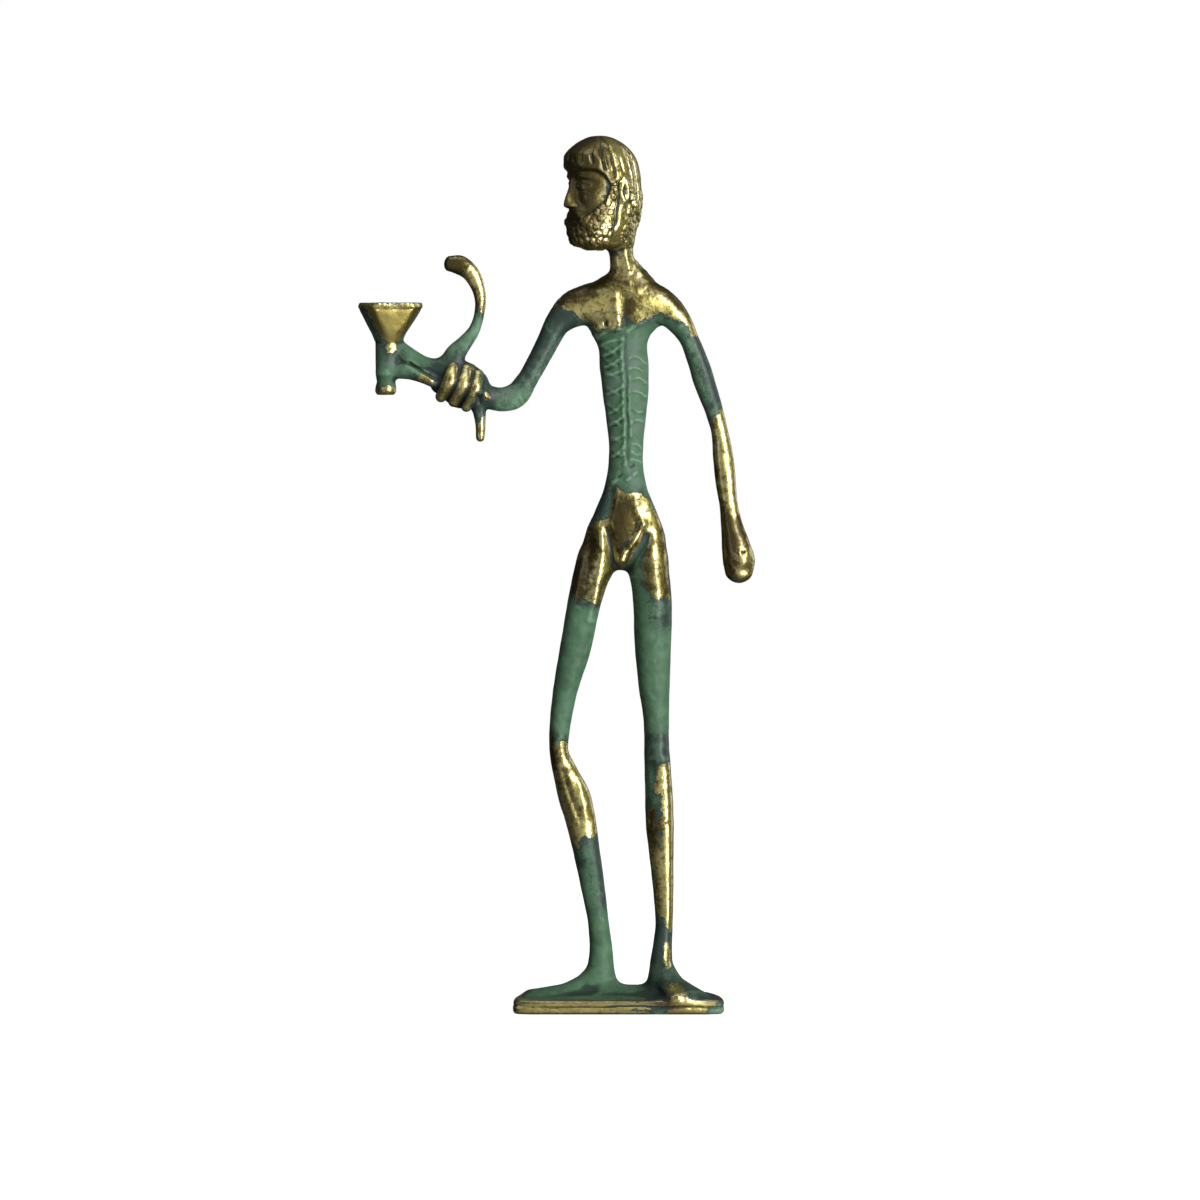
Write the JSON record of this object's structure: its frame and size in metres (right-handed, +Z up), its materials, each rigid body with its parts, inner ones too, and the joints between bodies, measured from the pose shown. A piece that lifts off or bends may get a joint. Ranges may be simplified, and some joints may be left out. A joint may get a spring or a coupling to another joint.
{
  "type": "bronze deity statue",
  "caption": "Slim bearded healer god standing on a flat plate, cast whole, with a snake and a raised goblet in one hand.",
  "frame": {"origin": "on the plate's flat underside, under the figure and midway along the plate", "axes": "+Z up the figure, -Y the way the chest faces, -X towards the raised right hand"},
  "size_m": [0.0944, 0.0244, 0.2089],
  "materials": {
    "bronze": "green verdigris with polished golden high spots"
  },
  "bodies": {
    "root": {"cast_figure": "bronze"}
  },
  "joints": []
}
